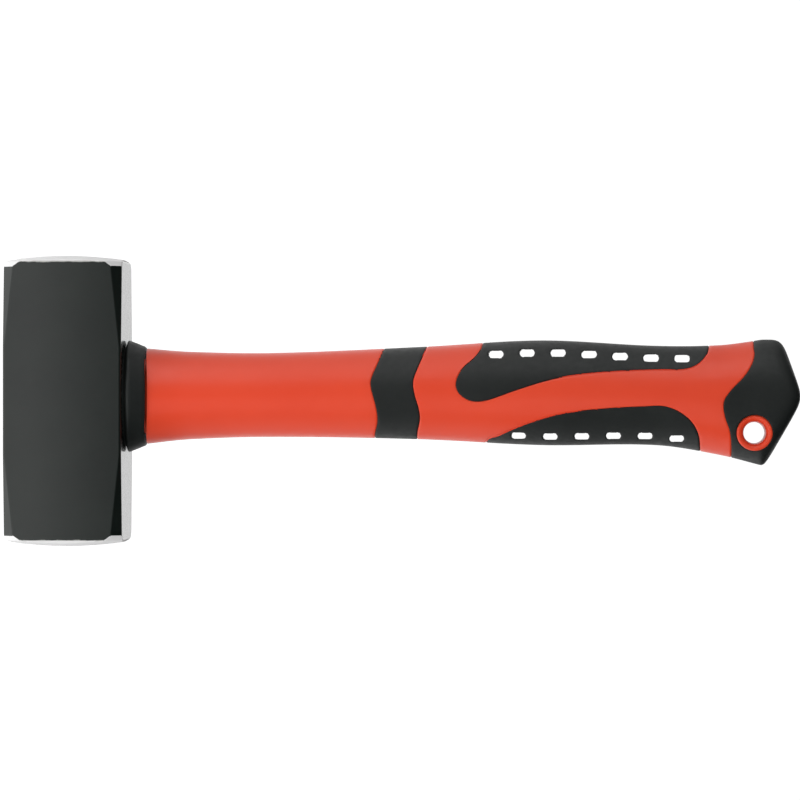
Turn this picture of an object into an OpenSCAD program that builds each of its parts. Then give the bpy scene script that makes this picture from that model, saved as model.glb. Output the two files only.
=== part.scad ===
// Lump hammer: a square forged head on a fibreglass rod, with a hard plastic
// handle moulded round the rod and soft grip pieces moulded over the handle.
// The hammer stands on its head. The origin is the centre of the face that it
// stands on, +Z runs up the handle, and the striking faces look along +X and -X.

/* [Head] */
// Length between the tips of the two striking faces
head_length = 97; // [80:1:120]
// Side of the square section of the head
head_width = 39.3; // [32:0.1:47.5]
// Radius of the crown of each striking face
crown_radius = 130; // [100:5:400]
// Bevel round each striking face, from its tip plane
face_bevel = 2.2; // [1.5:0.1:4]
// Width of the narrow bevel along the middle of each long edge
edge_break = 0.6; // [0.3:0.1:1]
// Width of the long edge facets where they reach the striking faces
facet_width = 3.8; // [1.5:0.1:5]
// Distance from the middle of the head to where the edge facets begin
facet_start = 18; // [10:1:30]
// Bevel of the face corners, along the head
corner_bevel = 3.6; // [2.5:0.1:5]
// Length of the oval eye, along the head
eye_length = 28; // [24:0.5:34]

/* [Rod and resin] */
// Diameter of the fibreglass rod
rod_diameter = 16; // [12:0.1:19.2]
// Resin between the rod and the sides of the eye
resin_wall = 1.5; // [1:0.1:2.5]
// Depth of the rod's end and the resin below the head's outer face
eye_recess = 1.2; // [0.5:0.1:4]
// Distance from the rod's other end to the tip of the butt
rod_end_gap = 26; // [20:1:40]
// Gap all round the rod in the handle's bore
rod_clearance = 0.05; // [0.02:0.01:0.3]

/* [Collar] */
// Height of the collar on the head
collar_height = 7; // [5:0.5:12]
// Step from the side of the head to the rim of the collar
collar_step = 1.05; // [0.5:0.05:3]
// How much the collar narrows from its rim to its top, on the diameter
collar_taper = 4.1; // [1:0.1:6]
// Height of the undercut foot below the collar's rim
collar_foot = 1.4; // [0.5:0.1:2]
// Depth of that undercut
collar_undercut = 0.9; // [0.2:0.1:2]
// How far the handle's spigot reaches past the sides of the eye, on to the head
spigot_seat = 3.05; // [1.5:0.05:3.5]
// Gap all round the spigot
spigot_clearance = 0.05; // [0.02:0.01:0.3]

/* [Handle] */
// Length of the handle from the head to the tip of the butt
handle_length = 224.5; // [187:0.5:270]
// Offset of the handle's axis from the middle of the head, towards -X
handle_offset = 1.6; // [0:0.1:3]
// Step from the top of the collar in to the handle
root_step = 0.65; // [0.2:0.05:1.5]
// How much thinner than deep the handle is where it leaves the collar
root_flat = 2.8; // [0:0.1:4]
// Depth of the slim neck
neck_depth = 28; // [25:0.1:34]
// Thickness of the slim neck
neck_thickness = 25; // [22:0.5:30]
// Depth of the palm swell
swell_depth = 34.8; // [30:0.1:42]
// Thickness of the palm swell
swell_thickness = 28; // [24:0.5:34]
// Depth of the waist behind the palm swell
waist_depth = 33; // [29:0.1:40]
// Thickness of the waist
waist_thickness = 26; // [23:0.5:32]
// Depth of the flared butt
butt_depth = 41.6; // [38:0.1:50]
// Thickness of the butt
butt_thickness = 24.5; // [21:0.5:30]

/* [Grip] */
// Thickness of the soft pieces over the hard handle
grip_skin = 2.4; // [1.5:0.1:3]
// Number of slots along the back of the grip
back_slots = 7; // [1:1:7]
// Number of slots along the belly of the grip
belly_slots = 6; // [1:1:6]
// Length of a back slot
back_slot_length = 5.2; // [3:0.1:7]
// Width of a back slot
back_slot_width = 2.5; // [1.5:0.1:3]
// Length of a belly slot
belly_slot_length = 4.9; // [3:0.1:7]
// Width of a belly slot
belly_slot_width = 2.1; // [1.2:0.1:2.5]
// Distance between neighbouring back slots
back_slot_pitch = 10.3; // [8.5:0.1:10.5]
// Distance between neighbouring belly slots
belly_slot_pitch = 10.5; // [8.5:0.1:10.7]
// Soft wall that lines each slot
slot_lining = 1.2; // [0.8:0.1:1.4]

/* [Hanging hole] */
// Diameter of the hanging hole
hole_diameter = 7; // [5:0.1:8.6]
// Outer diameter of the ring round the hole
ring_diameter = 12; // [10.5:0.1:14.5]
// Length of the straight bore in the middle of the ring
hole_throat = 5; // [4:0.5:14]
// Depth of each end of the ring below the side of the butt
ring_recess = 0.8; // [0.5:0.1:2]
// Distance from the belly side of the butt to the middle of the hole
hole_margin = 10.9; // [9.5:0.1:14]
// Distance from the tip of the butt to the middle of the hole
hole_from_tip = 15.4; // [14:0.1:18]
// Wall of the ring at its two ends
ring_lip = 0.6; // [0.4:0.1:0.8]

/* [Hidden] */

HEAD_STEEL = "#3d4341";
RESIN = "#c9a94f";
FIBREGLASS = "#d8c98f";
SOFT_BLACK = "#2f3332";
HARD_RED = "#dd4530";

axis_x = -handle_offset;
collar_top = head_width + collar_height;
butt_tip = head_width + handle_length;
collar_diameter = head_width - 2*collar_step;
collar_top_diameter = collar_diameter - collar_taper;
root_depth = collar_top_diameter - 2*root_step;
root_thickness = root_depth - root_flat;
eye_width = rod_diameter + 2*resin_wall;
spigot_diameter = eye_width + 2*spigot_seat;
rod_top = butt_tip - rod_end_gap;
butt_x = axis_x + 2.2;
hole_x = butt_x + butt_depth/2 - hole_margin;
hole_z = butt_tip - hole_from_tip;
ring_length = butt_thickness - 2*ring_recess;
head_corner = head_width/sqrt(2);
edge_depth = edge_break/sqrt(2);
facet_depth = facet_width/sqrt(2);
facet_tilt = atan((facet_depth - edge_depth)/(head_length/2 - facet_start));
beyond = 1;

// Handle stations: height, depth, centre along X and thickness. The first two
// stay with the collar and the others with the tip of the butt.
STATIONS = [
    [collar_top, root_depth, axis_x, root_thickness],
    [collar_top + 14, (root_depth + 2*neck_depth)/3, axis_x - 0.2, (root_thickness + 2*neck_thickness)/3],
    [collar_top + 42, neck_depth, axis_x - 0.4, neck_thickness],
    [butt_tip - 126, (neck_depth + swell_depth)/2 - 0.6, axis_x - 1, (neck_thickness + swell_thickness)/2],
    [butt_tip - 86, swell_depth, axis_x - 1.1, swell_thickness],
    [butt_tip - 48, waist_depth, axis_x - 0.2, waist_thickness],
    [butt_tip - 27, (2*waist_depth + butt_depth)/3 + 0.5, axis_x + 1.3, (waist_thickness + butt_thickness)/2],
    [butt_tip - 13, butt_depth, butt_x, butt_thickness]];
SLICES = 24;
RING_POINTS = 36;
// Balls that round the tip of the butt: distance of the centre from the tip,
// centre along X from the butt's middle, and radius
BUTT_START = 16.5;
BUTT_BALLS = [
    [10.4, 4.9 - butt_depth/2, 5.5],
    [10, -2.4, 10],
    [15, butt_depth/2 - 5.4, 5.4]];

// Soft pieces as seen from the side: distance from the butt tip, then X.
BAND_HEAD_EDGE = [[137, -26], [138.5, -17], [142, -8], [142.2, -4.5], [140.6, 2], [140.2, 7],
                  [141.4, 12.5], [142.5, 26]];
BAND_BUTT_EDGE = [[127.8, 26], [127.3, 12.6], [126.1, 6.6], [126.3, 2.9], [127.6, -1.8], [128.2, -5.5],
                  [127.6, -8.8], [124, -18], [121, -26]];
BACK_PAD = [[105, -28], [105.5, -19], [107.5, -15], [112, -10.7], [114, -6.5], [113.3, -2.9],
            [109.5, -0.1], [104, -0.1], [94.5, -3.4], [84, -6.7], [74, -8.7], [60, -9.9], [46, -10.4],
            [39.5, -10.4], [35, -11.6], [31.8, -14.4], [30.4, -18.1], [30, -28]];
BELLY_PAD = [[108, 28], [104.6, 14.2], [99.8, 11.5], [92, 8.1], [82, 4.9], [73, 3.3], [62, 2.3],
             [52, 1.8], [46.5, 1.6], [42.5, 2.5], [39, 4.4], [36, 7.2], [34, 11], [33.3, 16], [33, 28]];
CAP_EDGE = [[15.5, -30], [15.6, -18.5], [15.4, -15.5], [16.4, -12], [19, -8], [23, -3.8],
            [25.3, -0.5], [25.7, 2.3], [25, 6], [23.8, 9.5], [23.2, 13], [23, 19], [22.8, 30]];
BACK_SLOT_FIRST = 39.2;
BELLY_SLOT_FIRST = 41;
BACK_SLOT_INSET = 4.1;
BELLY_SLOT_INSET = 2.9;

// A smooth curve through rows p of equal length, read at the value t of column 0.
function slope(p, i, k) =
    let (a = max(i - 1, 0), b = min(i + 1, len(p) - 1)) (p[b][k] - p[a][k])/(p[b][0] - p[a][0]);
function row_at(p, t, i = 0) = i >= len(p) - 2 || t < p[i + 1][0] ? i : row_at(p, t, i + 1);
function read(p, t, k) =
    let (i = row_at(p, t), h = p[i + 1][0] - p[i][0], s = (t - p[i][0])/h)
    (2*s^3 - 3*s^2 + 1)*p[i][k] + (s^3 - 2*s^2 + s)*h*slope(p, i, k)
    + (3*s^2 - 2*s^3)*p[i + 1][k] + (s^3 - s^2)*h*slope(p, i + 1, k);

// A smooth open curve through the points p, with n steps in each span.
function bend(a, b, c, d, s) =
    0.5*(2*b + (c - a)*s + (2*a - 5*b + 4*c - d)*s^2 + (3*b - a - 3*c + d)*s^3);
function curve(p, n = 3) = [
    for (i = [0:len(p) - 2], j = [0:n - 1])
        bend(p[max(i - 1, 0)], p[i], p[i + 1], p[min(i + 2, len(p) - 1)], j/n),
    p[len(p) - 1]];

// Handle section: an oval with flat sides and two pairs of soft shoulders.
SOFTNESS = 7;
BACK_SHOULDER = 51;
BELLY_SHOULDER = 48;
function support(a, b, angle) = norm([a*cos(angle), b*sin(angle)]);
function flat(across, distance) = pow(max(0, across/distance), SOFTNESS);
function reach(t, a, b) = let (c = cos(t), s = abs(sin(t))) pow(
    flat(abs(c), a) + flat(s, b)
    + flat(s*sin(BACK_SHOULDER) - c*cos(BACK_SHOULDER), 0.95*support(a, b, BACK_SHOULDER))
    + flat(s*sin(BELLY_SHOULDER) + c*cos(BELLY_SHOULDER), 0.97*support(a, b, BELLY_SHOULDER)), -1/SOFTNESS);
function section(a, b) = let (sx = a/reach(180, a, b), sy = b/reach(90, a, b)) [
    for (i = [0:RING_POINTS - 1]) let (t = i*360/RING_POINTS) reach(t, a, b)*[sx*cos(t), sy*sin(t)]];

function ring(z, inset) = let (a = read(STATIONS, z, 1)/2 - inset, b = read(STATIONS, z, 3)/2 - inset)
    [for (p = section(a, b)) [p[0] + read(STATIONS, z, 2), p[1], z]];

// A slab of the handle between two heights
module slab(low, high, inset) {
    n = RING_POINTS;
    polyhedron(concat(ring(low, inset), ring(high, inset)), concat(
        [[for (i = [0:n - 1]) i], [for (i = [n - 1:-1:0]) n + i]],
        [for (i = [0:n - 1]) [i, n + i, n + (i + 1)%n, (i + 1)%n]]));
}

// The handle's whole outer form, or the form that lies inset below it.
module handle_form(inset = 0) {
    first = STATIONS[0][0];
    last = butt_tip - BUTT_START;
    step = (last - first)/SLICES;
    union() {
        for (i = [0:SLICES - 1]) hull() slab(first + i*step, first + (i + 1)*step, inset);
        hull() {
            slab(last - step, last, inset);
            for (ball = BUTT_BALLS, side = [-1, 1])
                translate([butt_x + ball[1], side*(butt_thickness/2 - ball[2] - 0.6), butt_tip - ball[0]])
                    sphere(r = ball[2] - inset, $fn = 24);
        }
    }
}

// A block through the handle, from a side outline measured from the butt tip.
module through_block(outline) {
    rotate([90, 0, 0])
        linear_extrude(80, center = true)
            polygon([for (p = outline) [p[1], butt_tip - p[0]]]);
}

module slot_shape(length, width, grow) {
    rotate([90, 0, 0]) linear_extrude(80, center = true) union() {
        square([width + 2*grow, length - width], center = true);
        for (end = [-1, 1])
            translate([0, end*(length - width)/2]) circle(d = width + 2*grow, $fn = 24);
    }
}

module back_slot_row(grow = 0) {
    for (i = [0:back_slots - 1]) let (z = butt_tip - BACK_SLOT_FIRST - i*back_slot_pitch)
        translate([read(STATIONS, z, 2) - read(STATIONS, z, 1)/2 + BACK_SLOT_INSET, 0, z])
            slot_shape(back_slot_length, back_slot_width, grow);
}

module belly_slot_row(grow = 0) {
    for (i = [0:belly_slots - 1]) let (z = butt_tip - BELLY_SLOT_FIRST - i*belly_slot_pitch)
        translate([read(STATIONS, z, 2) + read(STATIONS, z, 1)/2 - BELLY_SLOT_INSET, 0, z])
            slot_shape(belly_slot_length, belly_slot_width, grow);
}

module ring_hole() {
    translate([hole_x, 0, hole_z])
        rotate([90, 0, 0]) cylinder(h = 80, d = ring_diameter, center = true, $fn = 64);
}

module band_block() { through_block(concat(curve(BAND_HEAD_EDGE), curve(BAND_BUTT_EDGE))); }
module back_block() { through_block(curve(BACK_PAD)); }
module belly_block() { through_block(curve(BELLY_PAD)); }
module cap_block() { through_block(concat(curve(CAP_EDGE), [[-9, 30], [-9, -30]])); }

// A block less the hard handle below the skin: the room of a soft piece
module bed() {
    difference() {
        children();
        handle_form(grip_skin);
    }
}

// Square forged head with crowned faces, bevelled edges and an oval eye
module head() {
    color(HEAD_STEEL) difference() {
        intersection() {
            for (end = [-1, 1])
                translate([end*(head_length/2 - crown_radius), 0, head_width/2])
                    rotate([0, 0, 90]) sphere(r = crown_radius, $fn = 96);
            translate([0, 0, head_width/2]) rotate([90, 0, 0]) bevelled_bar();
            translate([0, 0, head_width/2]) bevelled_bar();
        }
        translate([0, 0, head_width/2]) for (edge = [0:3]) rotate([45 + 90*edge, 0, 0]) {
            translate([-head_length, -head_width/2, head_corner - edge_depth])
                cube([2*head_length, head_width, head_width]);
            for (end = [0, 1]) mirror([end, 0, 0]) facet_cut();
        }
        eye_shape(-beyond, head_width + beyond);
    }
}

module bevelled_bar() {
    x = head_length/2;
    y = head_width/2;
    linear_extrude(head_width, center = true)
        polygon([for (s = [[1, 1], [-1, 1], [-1, -1], [1, -1]], k = [0, 1])
            let (first = (s[0]*s[1] > 0) ? k : 1 - k)
            [s[0]*(x - first*face_bevel), s[1]*(y - (1 - first)*face_bevel)]]);
}

// The tapering facet on half of one long edge, and the bevel at its corner
module facet_cut() {
    translate([facet_start, 0, head_corner - edge_depth]) rotate([0, facet_tilt, 0])
        translate([0, -head_width/2, 0]) cube([head_length, head_width, head_width]);
    translate([head_length/2 - corner_bevel, 0, head_corner - facet_depth]) rotate([0, 45, 0])
        translate([-head_width/2, -head_width/2, 0]) cube([head_width, head_width, head_width]);
}

module eye_shape(low, high) {
    translate([0, 0, low]) linear_extrude(high - low) {
        square([eye_length - eye_width, eye_width], center = true);
        for (end = [-1, 1])
            translate([end*(eye_length - eye_width)/2, 0]) circle(d = eye_width, $fn = 64);
    }
}

// Epoxy that fills the eye round the rod
module eye_resin() {
    color(RESIN) difference() {
        eye_shape(eye_recess, head_width);
        translate([axis_x, 0, 0]) cylinder(h = head_width + beyond, d = rod_diameter, $fn = 64);
    }
}

// Fibreglass rod from the head's outer face to the middle of the butt
module core_rod() {
    color(FIBREGLASS) translate([axis_x, 0, eye_recess])
        cylinder(h = rod_top - eye_recess, d = rod_diameter, $fn = 64);
}

// Flared soft collar between the head and the handle
module collar() {
    color(SOFT_BLACK) translate([axis_x, 0, head_width]) difference() {
        union() {
            cylinder(h = collar_foot,
                     d1 = collar_diameter - 2*collar_undercut, d2 = collar_diameter, $fn = 96);
            translate([0, 0, collar_foot])
                cylinder(h = collar_height - collar_foot,
                         d1 = collar_diameter, d2 = collar_top_diameter, $fn = 96);
        }
        translate([0, 0, -beyond]) cylinder(h = collar_height + 2*beyond, d = spigot_diameter, $fn = 96);
    }
}

// Hard handle with its spigot, the rod's bore, and the beds of the soft pieces
module handle_jacket() {
    color(HARD_RED) difference() {
        union() {
            handle_form();
            translate([axis_x, 0, head_width])
                cylinder(h = collar_height + beyond, d = spigot_diameter - 2*spigot_clearance, $fn = 64);
        }
        bed() {
            band_block();
            back_block();
            belly_block();
            cap_block();
        }
        back_slot_row(slot_lining);
        belly_slot_row(slot_lining);
        ring_hole();
        translate([axis_x, 0, head_width - beyond])
            cylinder(h = rod_top - head_width + beyond + rod_clearance,
                     d = rod_diameter + 2*rod_clearance, $fn = 64);
    }
}

// Soft band that waves round the neck
module wave_band() {
    color(SOFT_BLACK) intersection() {
        handle_form();
        bed() band_block();
    }
}

// Soft pad over the back of the grip, which also lines the slots
module back_grip_pad() {
    color(SOFT_BLACK) difference() {
        intersection() {
            handle_form();
            union() {
                bed() back_block();
                back_slot_row(slot_lining);
            }
        }
        back_slot_row();
    }
}

// Soft pad under the fingers
module belly_grip_pad() {
    color(SOFT_BLACK) difference() {
        intersection() {
            handle_form();
            union() {
                bed() belly_block();
                belly_slot_row(slot_lining);
            }
        }
        belly_slot_row();
    }
}

// Soft cap over the butt
module butt_cap() {
    color(SOFT_BLACK) difference() {
        intersection() {
            handle_form();
            bed() cap_block();
        }
        ring_hole();
    }
}

// Hard ring through the butt, flared towards both sides, with the hanging hole
module hang_hole_ring() {
    half = ring_length/2;
    outer = ring_diameter/2 - rod_clearance;
    color(HARD_RED) translate([hole_x, 0, hole_z]) rotate([90, 0, 0])
        rotate_extrude($fn = 64) polygon([
            [hole_diameter/2, -hole_throat/2], [outer - ring_lip, -half], [outer, -half],
            [outer, half], [outer - ring_lip, half], [hole_diameter/2, hole_throat/2]]);
}

head();
eye_resin();
core_rod();
collar();
handle_jacket();
wave_band();
back_grip_pad();
belly_grip_pad();
butt_cap();
hang_hole_ring();
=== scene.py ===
from math import copysign, cos, pi, radians, sin, sqrt

import bmesh
import bpy
import numpy as np
from mathutils import Matrix, Vector


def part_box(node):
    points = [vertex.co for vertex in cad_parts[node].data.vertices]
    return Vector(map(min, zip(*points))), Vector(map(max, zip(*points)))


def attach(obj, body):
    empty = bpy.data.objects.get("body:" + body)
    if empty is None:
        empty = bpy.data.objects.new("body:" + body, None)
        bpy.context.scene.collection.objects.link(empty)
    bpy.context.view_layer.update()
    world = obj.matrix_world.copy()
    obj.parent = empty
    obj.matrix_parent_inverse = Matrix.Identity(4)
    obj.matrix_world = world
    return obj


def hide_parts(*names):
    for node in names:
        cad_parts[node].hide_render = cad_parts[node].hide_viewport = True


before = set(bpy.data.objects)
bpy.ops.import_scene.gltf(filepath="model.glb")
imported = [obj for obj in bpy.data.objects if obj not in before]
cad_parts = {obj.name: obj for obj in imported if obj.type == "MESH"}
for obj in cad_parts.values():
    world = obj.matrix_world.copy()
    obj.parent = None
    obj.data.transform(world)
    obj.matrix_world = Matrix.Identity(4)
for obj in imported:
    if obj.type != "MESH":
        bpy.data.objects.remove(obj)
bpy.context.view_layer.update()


# ---- Head -------------------------------------------------------------------
# A square block of forged steel with tapering facets on its long edges. The
# striking faces are crowned and bevelled on a grinder, and the whole head is
# dipped in a thin dark lacquer that wears off the ground edges.
MM = 0.001
HEAD_LENGTH, HEAD_WIDTH = [(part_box("head")[1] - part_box("head")[0])[axis] / MM for axis in (0, 1)]
CROWN_RADIUS = 130
CROWN_CELLS = 8
FACE_BEVEL = 2.2
EDGE_BREAK = 0.6
FACET_WIDTH = 3.8
FACET_START = 18
CORNER_BEVEL = 3.6
EYE_LENGTH, EYE_WIDTH = 28, 19
WORN_EDGE = 0.3
WORN_LINE, WORN_FADE = 0.1, 0.4
BRIGHT_START, BRIGHT_FULL = 5.5, 4
SLUG_SIDES = 90
CREASE = radians(50)


def cut_away(block, point, normal):
    """Saws a convex block along a plane and closes the cut."""
    bmesh.ops.bisect_plane(
        block, geom=block.verts[:] + block.edges[:] + block.faces[:], dist=0.0001,
        plane_co=point, plane_no=normal, clear_outer=True)
    rim = [edge for edge in block.edges if edge.is_boundary]
    if rim:
        bmesh.ops.holes_fill(block, edges=rim, sides=0)


def as_mesh(form, name):
    """Turns a form in millimetres into a smooth mesh in metres."""
    bmesh.ops.scale(form, vec=(MM, MM, MM), verts=form.verts)
    mesh = bpy.data.meshes.new(name)
    form.to_mesh(mesh)
    form.free()
    mesh.shade_smooth()
    mesh.set_sharp_from_angle(angle=CREASE)
    return mesh


def add_slug(form, half, radius, length, place=Matrix()):
    """Adds a round-ended bar that stands on Z = 0 and is longest across X, and places it."""
    made = bmesh.ops.create_circle(form, cap_ends=True, segments=SLUG_SIDES, radius=radius)["verts"]
    for vert in made:
        vert.co.x += copysign(half, vert.co.x)
    made += [item for item in bmesh.ops.extrude_face_region(form, geom=made[0].link_faces[:])["geom"]
             if isinstance(item, bmesh.types.BMVert)]
    bmesh.ops.translate(form, vec=(0, 0, length), verts=made[SLUG_SIDES:])
    bmesh.ops.transform(form, matrix=place, verts=made)


def cut_out(piece, form, name):
    """Cuts a form out of a piece."""
    bmesh.ops.recalc_face_normals(form, faces=form.faces)
    cutter = bpy.data.objects.new(name, as_mesh(form, name))
    bpy.context.scene.collection.objects.link(cutter)
    drill = piece.modifiers.new(name, "BOOLEAN")
    drill.object = cutter
    drill.solver = "MANIFOLD"
    bpy.context.view_layer.update()
    whole = piece.data
    piece.data = bpy.data.meshes.new_from_object(
        piece.evaluated_get(bpy.context.evaluated_depsgraph_get()))
    piece.modifiers.clear()
    piece.data.set_sharp_from_angle(angle=CREASE)
    bpy.data.objects.remove(cutter)
    bpy.data.meshes.remove(whole)


def as_piece(mesh, name, node, material):
    """Puts a mesh in the scene in place of its CAD node and material."""
    piece = bpy.data.objects.new(name, mesh)
    bpy.context.scene.collection.objects.link(piece)
    mesh.materials.clear()
    mesh.materials.append(material)
    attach(piece, "root")
    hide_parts(node)
    return piece


def new_material(name, **constants):
    """Makes a material whose named shader sockets hold constants."""
    material = bpy.data.materials.new(name)
    material.use_nodes = True
    shader = material.node_tree.nodes["Principled BSDF"]
    for socket, value in constants.items():
        shader.inputs[socket.replace("_", " ")].default_value = value
    return material, shader


def add_node(material, kind, inputs=(), **settings):
    """Adds a shader node. Each input is a number, a colour or another node's output."""
    made = material.node_tree.nodes.new("ShaderNode" + kind)
    for setting, value in settings.items():
        setattr(made, setting, value)
    for socket, value in dict(inputs).items():
        if isinstance(value, bpy.types.NodeSocket):
            material.node_tree.links.new(value, made.inputs[socket])
        else:
            made.inputs[socket].default_value = value
    return made


def noise(material, scale, detail=3, roughness=0.5, stretch=(1, 1, 1)):
    """Noise on the object's own coordinates; scale is in lumps a metre."""
    place = add_node(material, "TexCoord").outputs["Object"]
    place = add_node(material, "Mapping", {"Vector": place, "Scale": stretch}).outputs[0]
    return add_node(material, "TexNoise", {
        "Vector": place, "Scale": scale, "Detail": detail, "Roughness": roughness}).outputs["Fac"]


def spread(material, value, low, high, from_low=0.3, from_high=0.7):
    """Stretches a pattern's middle range to run from low to high."""
    return add_node(material, "MapRange", {
        "Value": value, "From Min": from_low, "From Max": from_high,
        "To Min": low, "To Max": high}).outputs["Result"]


def blend_colours(material, factor, first, second):
    """Mixes two colours by a pattern."""
    mix = add_node(material, "Mix", data_type="RGBA")
    mix.inputs[6].default_value = (*first, 1)
    mix.inputs[7].default_value = (*second, 1)
    material.node_tree.links.new(factor, mix.inputs["Factor"])
    return mix.outputs[2]


def wire(material, shader, **links):
    """Links outputs to the shader's named sockets."""
    for socket, output in links.items():
        material.node_tree.links.new(output, shader.inputs[socket.replace("_", " ")])


def bumps(material, shader, *layers):
    """Stacks bump layers of (pattern, height in metres, strength)."""
    normal = None
    for pattern, height, strength in layers:
        inputs = {"Height": pattern, "Distance": height, "Strength": strength}
        if normal:
            inputs["Normal"] = normal
        normal = add_node(material, "Bump", inputs).outputs["Normal"]
    wire(material, shader, Normal=normal)


head_form = bmesh.new()
bmesh.ops.create_cube(head_form, size=1)
bmesh.ops.scale(head_form, vec=(HEAD_LENGTH, HEAD_WIDTH, HEAD_WIDTH), verts=head_form.verts)
across = [edge for edge in head_form.edges
          if abs(edge.verts[0].co.x - edge.verts[1].co.x) < 1]
bmesh.ops.subdivide_edges(head_form, edges=across, cuts=CROWN_CELLS - 1, use_grid_fill=True)
for vert in head_form.verts:
    drop = CROWN_RADIUS - sqrt(CROWN_RADIUS**2 - vert.co.y**2 - vert.co.z**2)
    vert.co.x -= copysign(drop, vert.co.x)

half_length, half_width = HEAD_LENGTH / 2, HEAD_WIDTH / 2
corner = half_width * sqrt(2)
for quarter in range(4):
    side = Vector((0, cos(quarter * pi / 2), sin(quarter * pi / 2)))
    edge_way = Vector((0, cos((quarter + 0.5) * pi / 2), sin((quarter + 0.5) * pi / 2)))
    edge_line = edge_way * (corner - EDGE_BREAK / sqrt(2))
    facet_fall = (FACET_WIDTH - EDGE_BREAK) / sqrt(2) / (half_length - FACET_START)
    cut_away(head_form, edge_line, edge_way)
    for end in (Vector((1, 0, 0)), Vector((-1, 0, 0))):
        cut_away(head_form, end * half_length + side * (half_width - FACE_BEVEL), end + side)
        cut_away(head_form, end * FACET_START + edge_line, edge_way + end * facet_fall)
        cut_away(head_form, end * (half_length - CORNER_BEVEL)
                 + edge_way * (corner - FACET_WIDTH / sqrt(2)), end + edge_way)
bmesh.ops.remove_doubles(head_form, verts=head_form.verts, dist=0.2)
bmesh.ops.dissolve_limit(
    head_form, angle_limit=radians(0.3), verts=head_form.verts, edges=head_form.edges)
bmesh.ops.translate(head_form, vec=(0, 0, half_width), verts=head_form.verts)
head = as_mesh(head_form, "forged_head")

# Dark lacquer over scale, thin and bright where the striking faces were ground
lacquer, shader = new_material(
    "dark_lacquered_steel", Specular_IOR_Level=0.2, Coat_Weight=0.8, Coat_Roughness=0.12)
where = add_node(lacquer, "SeparateXYZ", {
    "Vector": add_node(lacquer, "TexCoord").outputs["Object"]}).outputs["X"]
out_along = add_node(lacquer, "Math", {0: where}, operation="ABSOLUTE").outputs[0]
scuffs = noise(lacquer, 260, 5, 0.6)
ragged = add_node(lacquer, "Math", {0: spread(lacquer, scuffs, -0.0002, 0.0002), 1: out_along},
                  operation="ADD").outputs[0]
from_line = add_node(lacquer, "Math", {0: ragged, 1: -(half_length - FACE_BEVEL) * MM},
                     operation="ADD").outputs[0]
off_line = add_node(lacquer, "Math", {0: from_line}, operation="ABSOLUTE").outputs[0]
worn = spread(lacquer, off_line, 1, 0, WORN_LINE * MM, WORN_FADE * MM)
coat_colour = blend_colours(lacquer, spread(lacquer, noise(lacquer, 45), 0, 1),
                            (0.004, 0.007, 0.006), (0.007, 0.011, 0.009))
steel_mix = add_node(lacquer, "Mix", {"Factor": worn}, data_type="RGBA")
lacquer.node_tree.links.new(coat_colour, steel_mix.inputs[6])
steel_mix.inputs[7].default_value = (0.5, 0.5, 0.48, 1)
wire(lacquer, shader, Base_Color=steel_mix.outputs[2],
     Metallic=spread(lacquer, worn, 0, 0.8, 0, 1),
     Roughness=spread(lacquer, noise(lacquer, 600, 4), 0.3, 0.42))
bumps(lacquer, shader, (noise(lacquer, 90, 2), 0.0004, 0.25), (noise(lacquer, 1500, 3), 0.00006, 0.35))

forged_head = as_piece(head, "forged_head", "head", lacquer)
eye_form = bmesh.new()
add_slug(eye_form, (EYE_LENGTH - EYE_WIDTH) / 2, EYE_WIDTH / 2, HEAD_WIDTH + 2,
         Matrix.Translation((0, 0, -1)))
cut_out(forged_head, eye_form, "eye")

# Bare steel on the striking faces and their bevels, ground across, brightest at the corners
ground_steel, shader = new_material("ground_steel", Metallic=0.85, Specular_IOR_Level=0.3)
grind_marks = noise(ground_steel, 900, 4, 0.6, (1, 0.05, 1))
marked = blend_colours(ground_steel, spread(ground_steel, grind_marks, 0, 1),
                       (0.10, 0.11, 0.105), (0.17, 0.18, 0.17))
place = add_node(ground_steel, "SeparateXYZ", {
    "Vector": add_node(ground_steel, "TexCoord").outputs["Object"]})
sideways = add_node(ground_steel, "Math", {0: place.outputs["Y"]}, operation="ABSOLUTE").outputs[0]
upwards = add_node(ground_steel, "Math", {0: place.outputs["Z"], 1: half_width * MM},
                   operation="SUBTRACT").outputs[0]
upwards = add_node(ground_steel, "Math", {0: upwards}, operation="ABSOLUTE").outputs[0]
outwards = add_node(ground_steel, "Math", {0: sideways, 1: upwards}, operation="ADD").outputs[0]
bright_corners = add_node(ground_steel, "Mix", {
    "Factor": spread(ground_steel, outwards, 0, 1,
                     (HEAD_WIDTH - BRIGHT_START) * MM, (HEAD_WIDTH - BRIGHT_FULL) * MM)},
    data_type="RGBA")
ground_steel.node_tree.links.new(marked, bright_corners.inputs[6])
bright_corners.inputs[7].default_value = (0.42, 0.43, 0.41, 1)
wire(ground_steel, shader, Base_Color=bright_corners.outputs[2],
     Roughness=spread(ground_steel, noise(ground_steel, 300, 3), 0.42, 0.55))
bumps(ground_steel, shader, (grind_marks, 0.00008, 0.4), (noise(ground_steel, 120, 3), 0.0004, 0.2))
forged_head.data.materials.append(ground_steel)
ground_from = (half_length - FACE_BEVEL - CORNER_BEVEL) * MM
for polygon in forged_head.data.polygons:
    if abs(polygon.normal.x) > 0.5 and abs(polygon.center.x) > ground_from:
        polygon.material_index = 1

rounding = forged_head.modifiers.new("worn edges", "BEVEL")
rounding.width = WORN_EDGE * MM
rounding.segments = 3
rounding.limit_method = "ANGLE"
rounding.angle_limit = radians(15)
rounding.use_clamp_overlap = False
forged_head.modifiers.new("flat faces", "WEIGHTED_NORMAL").weight = 100


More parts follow.
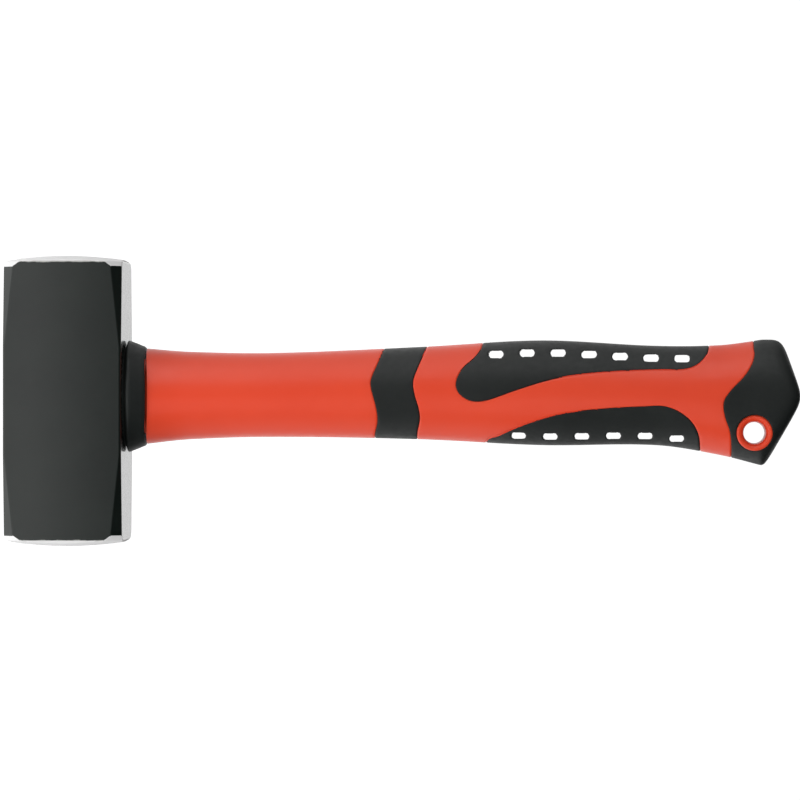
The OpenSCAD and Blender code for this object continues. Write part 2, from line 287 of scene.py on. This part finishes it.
# ---- Eye resin --------------------------------------------------------------
# Amber epoxy poured into the oval eye round the rod, and left a little below
# the head's outer face, where it sets glossy with small bubbles.
resin, shader = new_material("amber_epoxy", Roughness=0.22, Coat_Weight=0.4)
bubbles = add_node(resin, "TexVoronoi", {
    "Vector": add_node(resin, "TexCoord").outputs["Object"], "Scale": 900}).outputs["Distance"]
wire(resin, shader, Base_Color=blend_colours(
    resin, spread(resin, noise(resin, 160, 4), 0, 1), (0.42, 0.24, 0.06), (0.62, 0.40, 0.13)))
bumps(resin, shader, (bubbles, 0.0002, 0.3), (noise(resin, 300), 0.0003, 0.3))
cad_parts["eye_resin"].data.materials.clear()
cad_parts["eye_resin"].data.materials.append(resin)


# ---- Core rod ---------------------------------------------------------------
# A pultruded fibreglass rod, sawn square. Its sawn end shows the ends of the
# glass strands, and its sides show them as long fine streaks.
fibreglass, shader = new_material("pultruded_fibreglass", Roughness=0.5)
strands = noise(fibreglass, 1800, 3, 0.6, (1, 1, 0.02))
wire(fibreglass, shader, Base_Color=blend_colours(
    fibreglass, spread(fibreglass, strands, 0, 1), (0.50, 0.42, 0.22), (0.78, 0.72, 0.48)))
bumps(fibreglass, shader, (strands, 0.0002, 0.5))
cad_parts["core_rod"].data.materials.clear()
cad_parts["core_rod"].data.materials.append(fibreglass)


# ---- Collar -----------------------------------------------------------------
# A flared ring of soft black thermoplastic, pressed between head and handle.
# Its foot is undercut, and its rim and top dip towards the two striking faces.
AXIS_X = sum(corner_point.x for corner_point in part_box("core_rod")) / 2 / MM
HEAD_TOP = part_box("head")[1].z / MM
COLLAR_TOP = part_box("collar")[1].z / MM
COLLAR_RADIUS = (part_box("collar")[1].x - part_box("collar")[0].x) / MM / 2
COLLAR_TOP_RADIUS = COLLAR_RADIUS - 2.05
SPIGOT_RADIUS = 12.55
WAVE_RISE = 1.2


def lift(x, y):
    """How far the collar's edges rise towards the two cheeks."""
    return WAVE_RISE * y * y / max((x - AXIS_X)**2 + y * y, 1)


collar_form = bmesh.new()
COLLAR_PROFILE = [
    (SPIGOT_RADIUS, HEAD_TOP), (COLLAR_RADIUS - 2.0, HEAD_TOP), (COLLAR_RADIUS - 1.9, HEAD_TOP + 0.2),
    (COLLAR_RADIUS - 1.3, HEAD_TOP + 0.45), (COLLAR_RADIUS - 0.35, HEAD_TOP + 0.6),
    (COLLAR_RADIUS - 0.05, HEAD_TOP + 0.8), (COLLAR_RADIUS, HEAD_TOP + 1.1),
    (COLLAR_RADIUS - 0.3, HEAD_TOP + 1.9), (COLLAR_RADIUS - 0.9, HEAD_TOP + 3.5),
    (COLLAR_TOP_RADIUS + 0.35, COLLAR_TOP - 1.6), (COLLAR_TOP_RADIUS + 0.1, COLLAR_TOP - 0.9),
    (COLLAR_TOP_RADIUS - 0.15, COLLAR_TOP - 0.6), (COLLAR_TOP_RADIUS - 0.7, COLLAR_TOP - 0.6),
    (SPIGOT_RADIUS, COLLAR_TOP - 0.8)]
profile = [collar_form.verts.new((AXIS_X + radius, 0, height)) for radius, height in COLLAR_PROFILE]
outline = [collar_form.edges.new(pair) for pair in zip(profile, profile[1:] + profile[:1])]
bmesh.ops.spin(collar_form, geom=profile + outline, cent=(AXIS_X, 0, 0), axis=(0, 0, 1),
               angle=2 * pi, steps=120, use_merge=True)
for vert in collar_form.verts:
    share = min(1, max(0, (vert.co.z - HEAD_TOP) / 1.0))
    vert.co.z += share * lift(vert.co.x, vert.co.y)
bmesh.ops.recalc_face_normals(collar_form, faces=collar_form.faces)

soft_black, shader = new_material("soft_black_thermoplastic", Specular_IOR_Level=0.4)
wire(soft_black, shader,
     Base_Color=blend_colours(soft_black, spread(soft_black, noise(soft_black, 70, 4), 0, 1),
                              (0.008, 0.010, 0.0095), (0.012, 0.0145, 0.0138)),
     Roughness=spread(soft_black, noise(soft_black, 500, 3), 0.44, 0.56))
bumps(soft_black, shader, (noise(soft_black, 2600, 2), 0.00005, 0.35),
      (noise(soft_black, 120, 2), 0.0003, 0.12))
as_piece(as_mesh(collar_form, "soft_collar"), "soft_collar", "collar", soft_black)


# ---- Handle skin ------------------------------------------------------------
# The outer form that the hard handle and its soft pieces share: one smooth
# skin from the collar to the tip of the butt, scored along the lines where the
# second shot of the moulding meets the first.
BUTT_TIP = HEAD_TOP + 224.5
ROOT_DEPTH, ROOT_THICKNESS = 31.8, 29
NECK_DEPTH, NECK_THICKNESS = 28, 25
SWELL_DEPTH, SWELL_THICKNESS = 34.8, 28
WAIST_DEPTH, WAIST_THICKNESS = 33, 26
BUTT_DEPTH, BUTT_THICKNESS = 41.6, 24.5
# Height, depth, centre along X and thickness at eight stations
STATIONS = np.array([
    (COLLAR_TOP, ROOT_DEPTH, AXIS_X, ROOT_THICKNESS),
    (COLLAR_TOP + 14, (ROOT_DEPTH + 2 * NECK_DEPTH) / 3, AXIS_X - 0.2,
     (ROOT_THICKNESS + 2 * NECK_THICKNESS) / 3),
    (COLLAR_TOP + 42, NECK_DEPTH, AXIS_X - 0.4, NECK_THICKNESS),
    (BUTT_TIP - 126, (NECK_DEPTH + SWELL_DEPTH) / 2 - 0.6, AXIS_X - 1,
     (NECK_THICKNESS + SWELL_THICKNESS) / 2),
    (BUTT_TIP - 86, SWELL_DEPTH, AXIS_X - 1.1, SWELL_THICKNESS),
    (BUTT_TIP - 48, WAIST_DEPTH, AXIS_X - 0.2, WAIST_THICKNESS),
    (BUTT_TIP - 27, (2 * WAIST_DEPTH + BUTT_DEPTH) / 3 + 0.5, AXIS_X + 1.3,
     (WAIST_THICKNESS + BUTT_THICKNESS) / 2),
    (BUTT_TIP - 13, BUTT_DEPTH, AXIS_X + 2.2, BUTT_THICKNESS)])
SOFTNESS = 7
END_SOFTNESS, CORNER_SOFTNESS = 13, 40
BACK_SHOULDER, BELLY_SHOULDER = radians(51), radians(48)
DOME_START = BUTT_TIP - 16.5
AROUND, TUBE_ROWS, DOME_ROWS = 132, 190, 34
# The two slopes of the butt's end: how steep each is, and its distance from the dome's centre
BACK_SLOPE, BELLY_SLOPE = (-0.352, 16.65), (0.571, 14.27)
BACK_LEAN = 0.03
LIFT_FADE = 16


def station(height, column):
    """Reads a column of the stations at a height, along a smooth curve."""
    rows = STATIONS
    i = np.clip(np.searchsorted(rows[:, 0], height, side="right") - 1, 0, len(rows) - 2)
    below = np.maximum(np.arange(len(rows)) - 1, 0)
    above = np.minimum(np.arange(len(rows)) + 1, len(rows) - 1)
    slopes = (rows[above, column] - rows[below, column]) / (rows[above, 0] - rows[below, 0])
    gap = rows[i + 1, 0] - rows[i, 0]
    s = (height - rows[i, 0]) / gap
    return ((2 * s**3 - 3 * s**2 + 1) * rows[i, column] + (s**3 - 2 * s**2 + s) * gap * slopes[i]
            + (3 * s**2 - 2 * s**3) * rows[i + 1, column] + (s**3 - s**2) * gap * slopes[i + 1])


def flatness(c, s, a, b):
    """The terms that the flat sides and the two pairs of shoulders add to the section."""
    terms = (s / b)**SOFTNESS
    for turn, way, fullness in ((BACK_SHOULDER, -1, 0.95), (BELLY_SHOULDER, 1, 0.97)):
        distance = fullness * np.hypot(a * cos(turn), b * sin(turn))
        terms = terms + (np.maximum(0, s * sin(turn) + way * c * cos(turn)) / distance)**SOFTNESS
    return terms


def handle_point(turn, row):
    """A point of the skin from its turn round the axis and its row along it."""
    height = COLLAR_TOP + (DOME_START - COLLAR_TOP) * np.minimum(row / TUBE_ROWS, 1)
    rise = np.maximum(0, row - TUBE_ROWS) / DOME_ROWS * pi / 2
    a, b = station(height, 1) / 2, station(height, 3) / 2
    c, s = np.cos(turn), np.abs(np.sin(turn))
    stretch_x = a * ((1 / a)**SOFTNESS + flatness(1, 0, a, b))**(1 / SOFTNESS)
    stretch_y = b * flatness(0, 1, a, b)**(1 / SOFTNESS)
    flat, up = np.cos(rise), np.sin(rise)
    towards_back, towards_belly = [
        np.where(up > 0, np.maximum(0, slope * c * flat * stretch_x + up) / sqrt(1 + slope**2) / distance, 0)
        for slope, distance in (BACK_SLOPE, BELLY_SLOPE)]
    corner = (np.abs(c) * flat / a)**CORNER_SOFTNESS + towards_belly**CORNER_SOFTNESS
    ends = corner**(END_SOFTNESS / CORNER_SOFTNESS) + towards_back**END_SOFTNESS
    size = (ends**(SOFTNESS / END_SOFTNESS) + flatness(c * flat, s * flat, a, b))**(-1 / SOFTNESS)
    reached = np.minimum(height + size * up, STATIONS[-1, 0])
    x = size * flat * c * stretch_x * station(reached, 1) / (2 * a)
    lean = BACK_LEAN * size * up * np.maximum(0, -x / a)
    return np.stack([station(reached, 2) + x - lean, size * flat * np.sin(turn) * stretch_y,
                     height + size * up], axis=-1)


def smooth_line(points, steps=8):
    """A smooth curve through (distance from the tip, X) points, as (height, X)."""
    p = np.array([points[0], *points, points[-1]], float)
    s = np.arange(steps)[:, None] / steps
    spans = [0.5 * (2 * b + (c - a) * s + (2 * a - 5 * b + 4 * c - d) * s**2 + (3 * b - a - 3 * c + d) * s**3)
             for a, b, c, d in zip(p, p[1:], p[2:], p[3:])]
    line = np.vstack([*spans, p[-1:]])
    return np.column_stack([BUTT_TIP - line[:, 0], line[:, 1]])


def inside_line(line, x, z):
    """Distance inside a closed side outline, negative outside it."""
    start, end = line, np.roll(line, -1, axis=0)
    along = end - start
    spot = np.column_stack([z, x])[:, None, :] - start
    share = np.clip((spot * along).sum(2) / np.maximum((along**2).sum(1), 1e-9), 0, 1)
    distance = np.sqrt(((spot - share[..., None] * along)**2).sum(2).min(1))
    straddles = (start[:, 1] > x[:, None]) != (end[:, 1] > x[:, None])
    with np.errstate(divide="ignore", invalid="ignore"):
        meets = start[:, 0] + (x[:, None] - start[:, 1]) * along[:, 0] / along[:, 1]
    inside = (straddles & (z[:, None] < meets)).sum(1) % 2 == 1
    return np.where(inside, distance, -distance)


def places(form):
    """The form's points as rows of X, Y and Z."""
    return np.array([vert.co[:] for vert in form.verts])


def slide_to(form, chosen, depth_inside, depth):
    """Slides points along the skin until their depth is used up."""
    form.normal_update()
    spots, step = places(form)[chosen], 0.01
    across = [(depth_inside(spots[:, 0] + step * x, spots[:, 2] + step * z)
               - depth_inside(spots[:, 0] - step * x, spots[:, 2] - step * z)) / (2 * step)
              for x, z in ((1, 0), (0, 1))]
    for i, slope_x, slope_z in zip(chosen, *across):
        vert = form.verts[i]
        way = Vector((slope_x, 0, slope_z))
        way -= way.dot(vert.normal) * vert.normal
        if way.length > 0.3:
            vert.co -= way * float(depth[i]) / way.length_squared


def score(form, depth_inside, level, near=0.05):
    """Cuts edges into the form where depth_inside(x, z) equals the level."""
    form.verts.ensure_lookup_table()
    form.verts.index_update()
    spots = places(form)
    depth = depth_inside(spots[:, 0], spots[:, 2]) - level
    close = np.flatnonzero(np.abs(depth) < near)
    slide_to(form, close, depth_inside, depth)
    depth[close] = 0
    on_line = [form.verts[i] for i in close]
    crossing = [edge for edge in form.edges
                if depth[edge.verts[0].index] * depth[edge.verts[1].index] < 0]
    for edge in crossing:
        first, second = (depth[vert.index] for vert in edge.verts)
        on_line.append(bmesh.utils.edge_split(edge, edge.verts[0], first / (first - second))[1])
    bmesh.ops.connect_verts(form, verts=on_line)


BAND_HEAD_EDGE = [(137, -26), (138.5, -17), (142, -8), (142.2, -4.5), (140.6, 2), (140.2, 7),
                  (141.4, 12.5), (142.5, 26)]
BAND_BUTT_EDGE = [(127.8, 26), (127.3, 12.6), (126.1, 6.6), (126.3, 2.9), (127.6, -1.8), (128.2, -5.5),
                  (127.6, -8.8), (124, -18), (121, -26)]
BACK_PAD = [(105, -28), (105.5, -19), (107.5, -15), (112, -10.7), (114, -6.5), (113.3, -2.9),
            (109.5, -0.1), (104, -0.1), (94.5, -3.4), (84, -6.7), (74, -8.7), (60, -9.9), (46, -10.4),
            (39.5, -10.4), (35, -11.6), (31.8, -14.4), (30.4, -18.1), (30, -28)]
BELLY_PAD = [(108, 28), (104.6, 14.2), (99.8, 11.5), (92, 8.1), (82, 4.9), (73, 3.3), (62, 2.3),
             (52, 1.8), (46.5, 1.6), (42.5, 2.5), (39, 4.4), (36, 7.2), (34, 11), (33.3, 16), (33, 28)]
CAP_EDGE = [(15.5, -30), (15.6, -18.5), (15.4, -15.5), (16.4, -12), (19, -8), (23, -3.8),
            (25.3, -0.5), (25.7, 2.3), (25, 6), (23.8, 9.5), (23.2, 13), (23, 19), (22.8, 30)]
BAND_LINE = np.vstack([smooth_line(BAND_HEAD_EDGE), smooth_line(BAND_BUTT_EDGE)])
BACK_LINE, BELLY_LINE = smooth_line(BACK_PAD), smooth_line(BELLY_PAD)
CAP_LINE = np.vstack([smooth_line(CAP_EDGE), [(BUTT_TIP + 9, 30), (BUTT_TIP + 9, -30)]])
SOFT_LINES = {"band": BAND_LINE, "back": BACK_LINE, "belly": BELLY_LINE, "cap": CAP_LINE}
GROOVE_WIDTH, GROOVE_DEPTH = 0.42, 0.32


def soft_depth(x, z):
    """Distance inside the nearest soft piece, negative on the red."""
    return np.max([inside_line(line, x, z) for line in SOFT_LINES.values()], axis=0)


skin = bmesh.new()
bmesh.ops.create_grid(skin, x_segments=AROUND, y_segments=TUBE_ROWS + DOME_ROWS, size=1)
flat_places = places(skin)
turns = pi * flat_places[:, 0]
rows = (flat_places[:, 1] + 1) / 2 * (TUBE_ROWS + DOME_ROWS)
for vert, spot in zip(skin.verts, handle_point(turns, rows)):
    vert.co = spot
    vert.co.z += lift(spot[0], spot[1]) * max(0, 1 - (spot[2] - COLLAR_TOP) / LIFT_FADE)**2
bmesh.ops.remove_doubles(skin, verts=skin.verts, dist=0.02)
for level in (0, -GROOVE_WIDTH, GROOVE_WIDTH, -0.3 * GROOVE_WIDTH, 0.3 * GROOVE_WIDTH):
    score(skin, soft_depth, level)
bmesh.ops.recalc_face_normals(skin, faces=skin.faces)
skin.normal_update()


def round_over(form, depth_inside, width, depth, straight=False):
    """Lowers the form along a line, in a rounded groove or lip, or straight in along Y."""
    spots = places(form)
    nearness = 1 - np.minimum(np.abs(depth_inside(spots[:, 0], spots[:, 2])) / width, 1)
    lowered = depth * (1 - np.sqrt(1 - nearness**2))
    form.normal_update()
    ways = [Vector((0, copysign(1, vert.co.y), 0)) if straight else vert.normal.copy()
            for vert in form.verts]
    for vert, way, amount in zip(form.verts, ways, lowered):
        vert.co -= way * float(amount)


round_over(skin, soft_depth, GROOVE_WIDTH, GROOVE_DEPTH)


# ---- Grip slots -------------------------------------------------------------
# Two rows of round-ended slots go right through the grip from side to side, so
# that the grip breathes. Each has a rounded lip and a thin sleeve of the soft pad.
def slot_row(first, pitch, count, side, inset, length, width):
    """Centres, half straight lengths and radii of a row of slots."""
    heights = BUTT_TIP - first - pitch * np.arange(count)
    centres = station(heights, 2) + side * (station(heights, 1) / 2 - inset)
    return [(x, z, (length - width) / 2, width / 2) for x, z in zip(centres, heights)]


BACK_SLOTS = slot_row(39.2, 10.3, 7, -1, 4.1, 5.2, 2.5)
BELLY_SLOTS = slot_row(41, 10.5, 6, 1, 2.9, 4.9, 2.1)
SLEEVE = 0.5
LIP_WIDTH, LIP_DEPTH = 0.45, 0.22


def inside_slots(slots):
    """A function that gives the distance inside the nearest of some slots."""
    def depth(x, z):
        return np.max([radius - np.hypot(x - cx, np.maximum(0, np.abs(z - cz) - half))
                       for cx, cz, half, radius in slots], axis=0)
    return depth


def open_slots(form, depth):
    """Takes away the skin inside the slots."""
    middles = np.array([face.calc_center_median()[:] for face in form.faces])
    inner = depth(middles[:, 0], middles[:, 2]) > 0
    bmesh.ops.delete(
        form, geom=[face for face, gone in zip(form.faces, inner) if gone], context="FACES")


def line_slots(form, slots):
    """Joins the two rims of each slot with a tunnel through the form."""
    for cx, cz, half, radius in slots:
        rim = [edge for edge in form.edges if edge.is_boundary
               and all(abs(vert.co.z - cz) < half + radius + 0.2
                       and abs(vert.co.x - cx) < radius + 0.2 for vert in edge.verts)]
        bmesh.ops.bridge_loops(form, edges=rim)


def faces_inside(form, line):
    """The form's faces whose middles lie inside a closed side outline."""
    middles = np.array([face.calc_center_median()[:] for face in form.faces])
    inner = inside_line(line, middles[:, 0], middles[:, 2]) > 0
    return [face for face, chosen in zip(form.faces, inner) if chosen]


# ---- Red jacket -------------------------------------------------------------
# The first shot of the handle, in hard glossy red plastic round the rod. It is
# recessed for the soft pieces, and its spigot goes down inside the collar.
BED_DEPTH = 2.0
ROD_RADIUS = (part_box("core_rod")[1].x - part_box("core_rod")[0].x) / MM / 2
ROD_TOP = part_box("core_rod")[1].z / MM
FIT = 0.05
SPIGOT_GAP = 0.1
RING_X, RING_Z = [sum(corner_point[axis] for corner_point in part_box("hang_hole_ring")) / 2 / MM
                  for axis in (0, 2)]
RING_RADIUS = (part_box("hang_hole_ring")[1].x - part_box("hang_hole_ring")[0].x) / MM / 2
RING_SEAT = [(RING_X, RING_Z, 0, RING_RADIUS)]

jacket_form = skin.copy()
recess = [face for line in SOFT_LINES.values() for face in faces_inside(jacket_form, line)]
sunk = bmesh.ops.extrude_face_region(jacket_form, geom=recess)["geom"]
floor_verts = [item for item in sunk if isinstance(item, bmesh.types.BMVert)]
bmesh.ops.delete(jacket_form, geom=[face for face in recess if face.is_valid], context="FACES")
jacket_form.normal_update()
for vert, way in [(vert, vert.normal.copy()) for vert in floor_verts]:
    vert.co -= way * BED_DEPTH


def next_ring(form, radius, height):
    """Carries the form's open end on to a circle round the rod's axis."""
    rim = [edge for edge in form.edges if edge.is_boundary]
    ring = bmesh.ops.extrude_edge_only(form, edges=rim)["geom"]
    for vert in ring:
        if isinstance(vert, bmesh.types.BMVert):
            way = Vector((vert.co.x - AXIS_X, vert.co.y)).normalized()
            vert.co = (AXIS_X + radius * way.x, radius * way.y, height)


next_ring(jacket_form, SPIGOT_RADIUS - SPIGOT_GAP, COLLAR_TOP)
next_ring(jacket_form, SPIGOT_RADIUS - SPIGOT_GAP, HEAD_TOP + FIT)
next_ring(jacket_form, ROD_RADIUS + FIT, HEAD_TOP + FIT)
next_ring(jacket_form, ROD_RADIUS + FIT, ROD_TOP + FIT)
open_edges = [edge for edge in jacket_form.edges if edge.is_boundary]
bmesh.ops.holes_fill(jacket_form, edges=open_edges, sides=0)
bmesh.ops.recalc_face_normals(jacket_form, faces=jacket_form.faces)

hard_red, shader = new_material("hard_red_plastic", Specular_IOR_Level=0.4)
wire(hard_red, shader,
     Base_Color=blend_colours(hard_red, spread(hard_red, noise(hard_red, 30, 3), 0, 1),
                              (0.78, 0.060, 0.021), (0.82, 0.068, 0.025)),
     Roughness=spread(hard_red, noise(hard_red, 400, 3), 0.30, 0.38))
bumps(hard_red, shader, (noise(hard_red, 60, 2), 0.0004, 0.15),
      (noise(hard_red, 2200, 2), 0.00003, 0.3))
red_jacket = as_piece(
    as_mesh(jacket_form, "red_jacket"), "red_jacket", "handle_jacket", hard_red)

passages = bmesh.new()
for cx, cz, half, radius in BACK_SLOTS + BELLY_SLOTS + RING_SEAT:
    grow = FIT if radius == RING_RADIUS else SLEEVE
    upright = Matrix(((0, 1, 0, cx), (0, 0, 1, -HEAD_WIDTH / 2), (1, 0, 0, cz), (0, 0, 0, 1)))
    add_slug(passages, half, radius + grow, HEAD_WIDTH, upright)
cut_out(red_jacket, passages, "slots and ring seat")


# ---- Soft pieces ------------------------------------------------------------
# The second shot: a wavy band round the neck, a pad on the back, a pad under
# the fingers and a cap on the butt, each a skin of soft black thermoplastic.
SOFT_WALL, THIN_WALL = 1.9, 0.12
WALL_SHARE = 0.45


def soft_piece(name, node, line, slots=(), seat=()):
    """Lifts a soft piece off the skin inside its outline, with its slots and its wall."""
    form = skin.copy()
    kept = set(faces_inside(form, line))
    spare = [face for face in form.faces if face not in kept]
    bmesh.ops.delete(form, geom=spare, context="FACES")
    openings = inside_slots([*slots, *seat]) if slots or seat else lambda x, z: 0 * x - SOFT_WALL * 3
    if slots or seat:
        for level in (-LIP_WIDTH, -0.3 * LIP_WIDTH, 0):
            score(form, openings, level)
        round_over(form, lambda x, z: np.minimum(0, openings(x, z)), LIP_WIDTH, LIP_DEPTH,
                   straight=True)
        open_slots(form, openings)
    line_slots(form, slots)
    bmesh.ops.recalc_face_normals(form, faces=form.faces)

    # The wall's inner side, which thins out towards the slots
    outside = form.faces[:]
    inner = [item for item in bmesh.ops.extrude_face_region(form, geom=outside)["geom"]
             if isinstance(item, bmesh.types.BMVert)]
    bmesh.ops.reverse_faces(form, faces=outside)
    form.normal_update()
    gaps = [-openings(np.array([vert.co.x]), np.array([vert.co.z]))[0] for vert in inner]
    ways = [vert.normal.copy() for vert in inner]
    for vert, way, gap in zip(inner, ways, gaps):
        vert.co -= way * min(SOFT_WALL, max(THIN_WALL, WALL_SHARE * float(gap)))
    bmesh.ops.recalc_face_normals(form, faces=form.faces)
    return as_piece(as_mesh(form, name), name, node, soft_black)


soft_piece("neck_band", "wave_band", BAND_LINE)
soft_piece("back_grip", "back_grip_pad", BACK_LINE, BACK_SLOTS)
soft_piece("belly_grip", "belly_grip_pad", BELLY_LINE, BELLY_SLOTS)
soft_piece("butt_cover", "butt_cap", CAP_LINE, seat=RING_SEAT)
skin.free()


# ---- Hanging ring -----------------------------------------------------------
# A straight red ring moulded through the butt, whose bore opens out towards each
# side so that a hook finds it. It is sunk a little on the back side of the butt
# and stands proud on the belly side, where the butt rounds off.
RING_HALF = (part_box("hang_hole_ring")[1].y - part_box("hang_hole_ring")[0].y) / MM / 2
HOLE_RADIUS = 3.5
ring_form = bmesh.new()
RING_PROFILE = [
    (HOLE_RADIUS, 2.5), (HOLE_RADIUS + 0.35, RING_HALF - 1.6), (HOLE_RADIUS + 0.6, RING_HALF - 0.9),
    (HOLE_RADIUS + 1.1, RING_HALF - 0.4), (RING_RADIUS - 0.7, RING_HALF),
    (RING_RADIUS - 0.3, RING_HALF - 0.1), (RING_RADIUS, RING_HALF - 0.45)]
loop = [(radius, way * y) for way in (1, -1) for radius, y in RING_PROFILE[::way]]
profile = [ring_form.verts.new((RING_X + radius, y, RING_Z)) for radius, y in loop]
outline = [ring_form.edges.new(pair) for pair in zip(profile, profile[1:] + profile[:1])]
bmesh.ops.spin(ring_form, geom=profile + outline, cent=(RING_X, 0, RING_Z), axis=(0, 1, 0),
               angle=2 * pi, steps=96, use_merge=True)
bmesh.ops.recalc_face_normals(ring_form, faces=ring_form.faces)
as_piece(as_mesh(ring_form, "hole_ring"), "hole_ring", "hang_hole_ring", hard_red)


# ---- Studio -----------------------------------------------------------------
# A plain white floor, and surroundings that are white behind and darker in front
# and overhead. A weak light stands in front on the back of the grip's side, and a
# stronger soft one on the other side, unseen in the gloss. The camera is rolled,
# so that the hammer, which stands on its head, lies across the picture.
scene = bpy.context.scene
floor_form = bmesh.new()
bmesh.ops.create_grid(floor_form, x_segments=1, y_segments=1, size=6)
floor_mesh = bpy.data.meshes.new("floor")
floor_form.to_mesh(floor_mesh)
floor_form.free()
floor = bpy.data.objects.new("floor", floor_mesh)
scene.collection.objects.link(floor)
white, shader = new_material(
    "white_floor", Base_Color=(0.8, 0.8, 0.8, 1), Roughness=0.9, Emission_Color=(1, 1, 1, 1))
forwards = add_node(white, "SeparateXYZ", {
    "Vector": add_node(white, "TexCoord").outputs["Object"]})
shed = spread(white, forwards.outputs["Y"], 0.05, 1, -0.4, -0.1)
seen = add_node(white, "LightPath").outputs["Is Camera Ray"]
wire(white, shader, Emission_Strength=add_node(
    white, "Mix", {"Factor": seen, "A": shed, "B": 1.0}).outputs["Result"])
floor_mesh.materials.append(white)

WHITE = 1.05
world = bpy.data.worlds.new("white_studio")
world.use_nodes = True
way = add_node(world, "SeparateXYZ", {"Vector": add_node(world, "TexCoord").outputs["Generated"]})
beside = spread(world, way.outputs["X"], 0.66, 0.06, -1, 0.6)
above = spread(world, way.outputs["Z"], 1, 0.12, 0.2, 0.8)
around = add_node(world, "Math", {0: beside, 1: above}, operation="MULTIPLY").outputs[0]
behind = spread(world, way.outputs["Y"], 0, 1, 0.75, 0.95)
studio = add_node(world, "Mix", {"Factor": behind, "A": around, "B": WHITE}).outputs["Result"]
seen = add_node(world, "LightPath").outputs["Is Camera Ray"]
glow = add_node(world, "Mix", {"Factor": seen, "A": studio, "B": WHITE}).outputs["Result"]
background = world.node_tree.nodes["Background"]
background.inputs["Color"].default_value = (1, 1, 1, 1)
world.node_tree.links.new(glow, background.inputs["Strength"])
scene.world = world

LIT_POINT = Vector((0, 0, 0.13))
for name, spot, size, energy, glossy in (("back_light", (-1.2, -0.7, -0.1), 1.0, 6, True),
                                         ("fill_light", (0.7, -1.4, 0.1), 1.2, 21, False)):
    lamp = bpy.data.lights.new(name, "AREA")
    lamp.size = size
    lamp.energy = energy
    light = bpy.data.objects.new(name, lamp)
    light.location = spot
    light.visible_glossy = glossy
    light.rotation_euler = (LIT_POINT - light.location).to_track_quat("-Z", "Y").to_euler()
    scene.collection.objects.link(light)

AIM = Vector((-0.00033, 0, 0.1307))
DISTANCE = 1.669
TILT = radians(2.56)
lens = bpy.data.cameras.new("camera")
lens.sensor_width = 36
lens.lens = 225.3
camera = bpy.data.objects.new("camera", lens)
back = Vector((0, -cos(TILT), sin(TILT)))
up = Vector((-1, 0, 0))
camera.matrix_world = Matrix.Translation(AIM + DISTANCE * back) @ Matrix(
    (up.cross(back), up, back)).transposed().to_4x4()
scene.collection.objects.link(camera)
scene.camera = camera
scene.view_settings.view_transform = "Standard"
